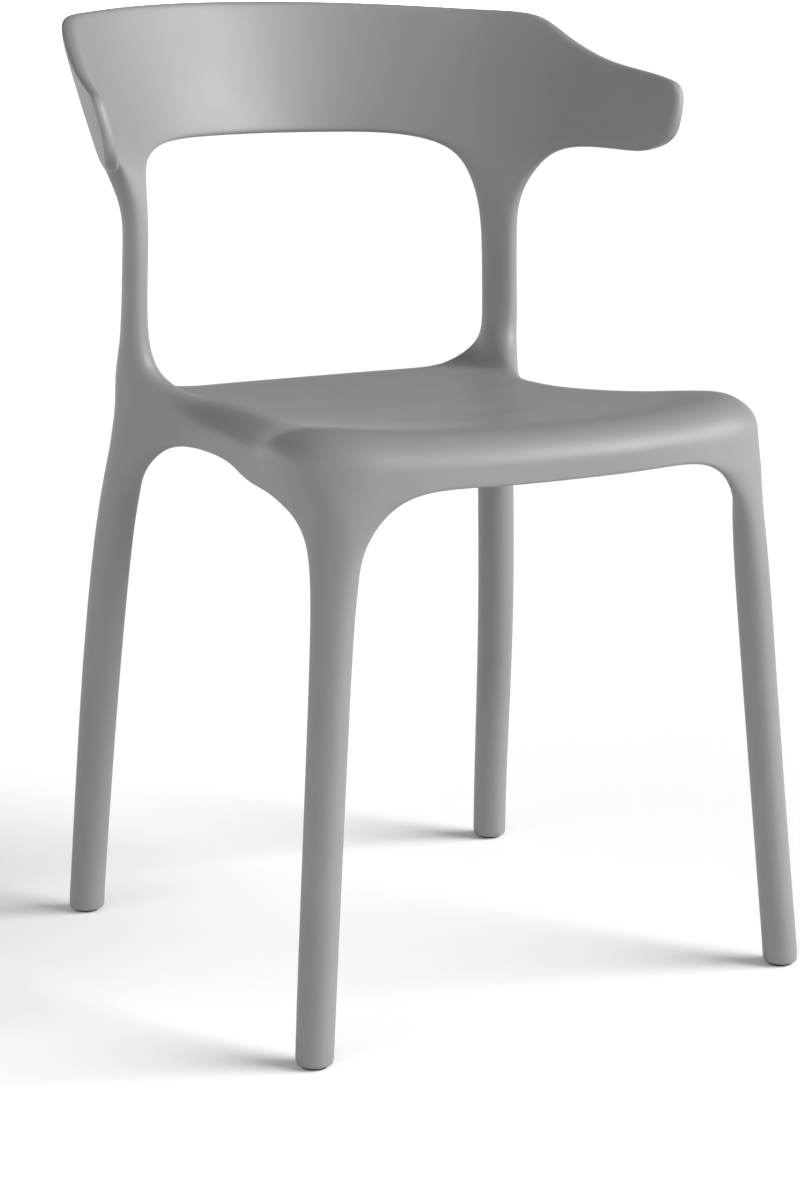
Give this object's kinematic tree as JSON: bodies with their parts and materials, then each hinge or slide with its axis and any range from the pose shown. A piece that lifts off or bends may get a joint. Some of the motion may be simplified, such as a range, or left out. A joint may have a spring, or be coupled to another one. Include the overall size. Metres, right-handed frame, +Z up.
{
  "type": "stacking armchair",
  "caption": "Stacking armchair moulded in one thin plastic shell: flat seat, round tapering legs and a curved backrest that runs forward into short armrest horns.",
  "frame": {"origin": "on the floor, under the middle of the chair's outline", "axes": "+X to the sitter's left-hand side seen from behind the chair, which is the right seen from the front; +Y towards the backrest; +Z up"},
  "size_m": [0.538, 0.5037, 0.7499],
  "materials": {
    "shell": "fine satin moulded texture",
    "foot": "matte"
  },
  "bodies": {
    "chair": {"seat": "shell", "front_leg_left": "shell", "front_leg_right": "shell", "rear_leg_left": "shell", "rear_leg_right": "shell", "upright_left": "shell", "upright_right": "shell", "backrest": "shell", "foot_front_left": "foot", "foot_front_right": "foot", "foot_rear_left": "foot", "foot_rear_right": "foot"}
  },
  "joints": []
}
